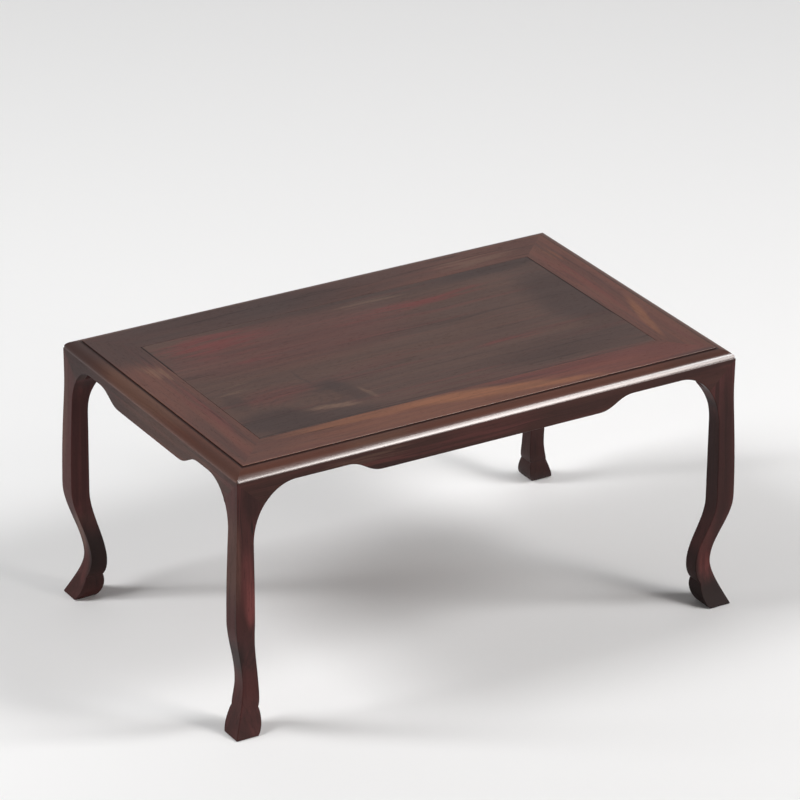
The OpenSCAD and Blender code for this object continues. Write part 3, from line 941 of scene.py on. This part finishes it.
def panel_wood(scene):
    """The panel is one wide board, darker and greyer, sawn across a crotch: red flames at the back
    left, smoky clouds towards the ends and a smoky arch round a brown tongue at the front left."""
    finish, top = scene.stand_finish, scene.stand_top
    joint = top.length / 2 - top.rail_width

    def arch(tree, along, grain, colour, seed):
        # growth rings that close round the tongue, faint and 8 mm apart
        ringed = add_node(tree, "Mapping", {"Vector": grain, "Location": (-0.128, -0.058, 0),
                                            "Scale": (0.045, 0.034, 1)}, vector_type="TEXTURE")
        rings = add_node(tree, "TexWave", {
            "Vector": ringed.outputs[0], "Scale": 1.3, "Distortion": 5.0, "Detail": 3.0,
            "Detail Scale": 1.5}, wave_type="RINGS", rings_direction="Z").outputs["Fac"]
        rings = add_node(tree, "MapRange", {0: rings, 1: 0.5, 2: 1.0}, **SMOOTH).outputs[0]
        near = patch(tree, along, None, (-125, -50), (85, 65))
        colour = stain(tree, colour, (rings, near, 0.22), finish.smoke)
        # old wax has gathered along the open joints, towards the back of both ends
        for side, reach in ((-1, 44 * MM), (1, -36 * MM)):
            wax_and_shade = zone(tree, along, "X", side * (joint - 1.7 * MM), side * (joint - 1.2 * MM))
            far = zone(tree, along, "Y", reach - 8 * MM, reach + 8 * MM)
            colour = stain(tree, colour, (wax_and_shade, far, 0.85), finish.ink)
        return colour, {}
    return rosewood(scene, "oiled_rosewood_panel", finish.panel_wood, (0, 0, 0), 41.3,
                    FIGURE_AND_SHADE["top_panel"], arch, (0.022, 0.014, 0.0))


def brace_wood(scene, node):
    """The braces stay planed and unoiled, dry and pale beside the rest."""
    return rosewood(scene, "planed_rosewood_" + node, scene.stand_finish.brace_wood,
                    (0, 0, QUARTER), SEEDS[node])


def apron_wood(scene, node):
    """The aprons come from the dark outside of the log, striped and browner than the legs."""
    turned = node in ("apron_left", "apron_right")
    return rosewood(scene, "oiled_rosewood_" + node, scene.stand_finish.apron_wood,
                    (QUARTER, QUARTER if turned else 0, 0), SEEDS[node], FIGURE_AND_SHADE.get(node, ()),
                    bands="shade", sheen=0.14, dull=0.06)


def leg_wood(scene, node):
    """Leg stock is sawn upright: the grain runs from the foot to the frame, and the end grain of
    the foot has drunk more oil and stays darker."""
    finish, nick = scene.stand_finish, scene.stand_legs.nick_z
    turn = (0, QUARTER, 0) if node == "leg_back_left" else (QUARTER, 0, QUARTER)

    def foot(tree, along, grain, colour, seed):
        soaked = zone(tree, along, "X", nick + 6 * MM, nick - 8 * MM)
        return stain(tree, colour, (soaked, 0.18), finish.ink), {}
    return rosewood(scene, "oiled_rosewood_" + node, finish.leg_wood, turn, SEEDS[node],
                    FIGURE_AND_SHADE[node], foot, (0.012, 0.004, 0.0), bands="shade", sheen=0.14, dull=0.12)


# ---- stage ----

def matt_paper():
    """A sweep of matt paper, a little greyer towards the front and paler far off: painted shade and
    painted light for how the lamps fall on it.
    """
    material = new_material("matt_paper_sweep")
    tree = material.node_tree
    place = add_node(tree, "TexCoord", {}).outputs["Object"]
    away = add_node(tree, "VectorMath", {0: place, 1: (-0.1, -0.8, 0)}, operation="DISTANCE")
    # painted shade near the front of the stand, fading to painted light far off
    paper = add_node(tree, "MapRange", {0: away.outputs["Value"], 1: 0.3, 2: 1.0, 3: 0.81, 4: 0.93})
    shader = add_node(tree, "BsdfPrincipled", {"Base Color": paper.outputs[0], "Roughness": 0.9,
                                               "Specular IOR Level": 0.1})
    add_node(tree, "OutputMaterial", {"Surface": shader.outputs[0]})
    return material


def studio_walls():
    """A dim studio with one pale wall behind the stand, which the flat top mirrors."""
    world = bpy.data.worlds.new("studio_walls")
    world.use_nodes = True
    tree = world.node_tree
    tree.nodes.clear()
    wall, dim, pale = (0.463, 0.770, 0.438), 0.10, 0.54
    look = add_node(tree, "TexCoord", {}).outputs["Generated"]
    facing = add_node(tree, "VectorMath", {0: look, 1: wall}, operation="DOT_PRODUCT").outputs
    shade = add_node(tree, "MapRange", {0: facing["Value"], 1: 0.70, 2: 0.95, 3: dim, 4: pale},
                     **SMOOTH)
    sky = add_node(tree, "Background", {"Strength": shade.outputs[0], "Color": (1, 1, 1, 1)})
    add_node(tree, "OutputWorld", {"Surface": sky.outputs[0]})
    return world


FLOOR_SIZE, FLOOR_DROP, LAMP_AWAY = 12, 0.3 * MM, 2.8
# fitted to the corners of the top and the feet in the photograph: metres, degrees and millimetres
CAMERA_PLACE, CAMERA_TURN = (-1.87752, -3.09560, 1.89682), (64.7296, -0.5848, -30.9792)
LENS, FILM = 213.155, 36
WHITE, WARM = (1.0, 1.0, 1.0), (1.0, 0.95, 0.92)
# a softbox high on each side of the camera, with strip lights under it: azimuth, lowest and highest
# elevation, width in degrees as the stand sees them, lean, brightness next to white, and colour
LAMPS = (("right_softbox", 318, 42, 60, 26, 0, 13.5, WHITE),
         ("right_strip", 301, 1, 43, 12, -18, 8.5, WARM),
         ("right_low", 330, 3, 30, 8, 0, 7.2, WHITE),
         ("left_softbox", 164, 42, 60, 28, 0, 14.1, WHITE),
         ("left_strip", 154, 1, 38, 9, 0, 10.0, WHITE))


def add_lamp(name, azimuth, low, high, wide, lean, bright, colour):
    """Sets up a lamp that faces the stand."""
    angle = math.radians(azimuth)
    foot, head = (LAMP_AWAY * math.tan(math.radians(e)) for e in (low, high))
    place = (math.cos(angle) * LAMP_AWAY, math.sin(angle) * LAMP_AWAY, (foot + head) / 2)
    bpy.ops.object.light_add(type="AREA", location=place)
    lamp, light = bpy.context.object, bpy.context.object.data
    lamp.name = light.name = name
    light.shape, light.color = "RECTANGLE", colour
    light.size, light.size_y = 2 * LAMP_AWAY * math.tan(math.radians(wide / 2)), head - foot
    light.energy = bright * math.pi * light.size * light.size_y
    upright = Matrix.Rotation(angle + QUARTER, 3, "Z") @ Matrix.Rotation(QUARTER, 3, "X")
    lamp.rotation_euler = (upright @ Matrix.Rotation(math.radians(lean), 3, "Z")).to_euler()
    lamp.visible_camera = False


@operator
class STAND_OT_stage(bpy.types.Operator):
    """Lays the pale floor, sets up the lamps and places the camera"""
    bl_idname = "stand.stage"
    bl_label = "Stage"

    def execute(self, context):
        scene = context.scene
        scene.view_settings.view_transform = "Standard"
        bpy.ops.object.select_all(action="DESELECT")
        bpy.ops.mesh.primitive_plane_add(size=FLOOR_SIZE, location=(0, 0, -FLOOR_DROP))
        floor = context.object
        floor.name = "floor"
        floor.data.materials.append(matt_paper())
        scene.world = studio_walls()
        for lamp in LAMPS:
            add_lamp(*lamp)

        turn = [math.radians(a) for a in CAMERA_TURN]
        bpy.ops.object.camera_add(location=CAMERA_PLACE, rotation=turn)
        camera = context.object
        camera.data.sensor_width, camera.data.lens = FILM, LENS
        camera.data.clip_start, camera.data.clip_end = 0.1, 50
        scene.camera = camera
        return {"FINISHED"}


@operator
class STAND_PT_panel(bpy.types.Panel):
    """Lists the pieces of the stand in the sidebar"""
    bl_idname = "STAND_PT_panel"
    bl_label = "Display stand"
    bl_space_type = "VIEW_3D"
    bl_region_type = "UI"
    bl_category = "Stand"

    def draw(self, context):
        for name in ("frame", "panel", "braces", "aprons", "legs", "stage"):
            self.layout.operator("stand." + name)
        for group in GROUPS:
            box = self.layout.box()
            for key in getattr(context.scene, group).__annotations__:
                box.prop(getattr(context.scene, group), key)


def register():
    for cls in CLASSES:
        bpy.utils.register_class(cls)
    for name, group in GROUPS.items():
        setattr(bpy.types.Scene, name, PointerProperty(type=group))


def unregister():
    for name in GROUPS:
        delattr(bpy.types.Scene, name)
    for cls in reversed(CLASSES):
        bpy.utils.unregister_class(cls)


def main():
    register()
    bpy.ops.stand.frame()
    bpy.ops.stand.panel()
    bpy.ops.stand.braces()
    bpy.ops.stand.aprons()
    bpy.ops.stand.legs()
    bpy.ops.stand.stage()


if __name__ == "__main__":
    main()
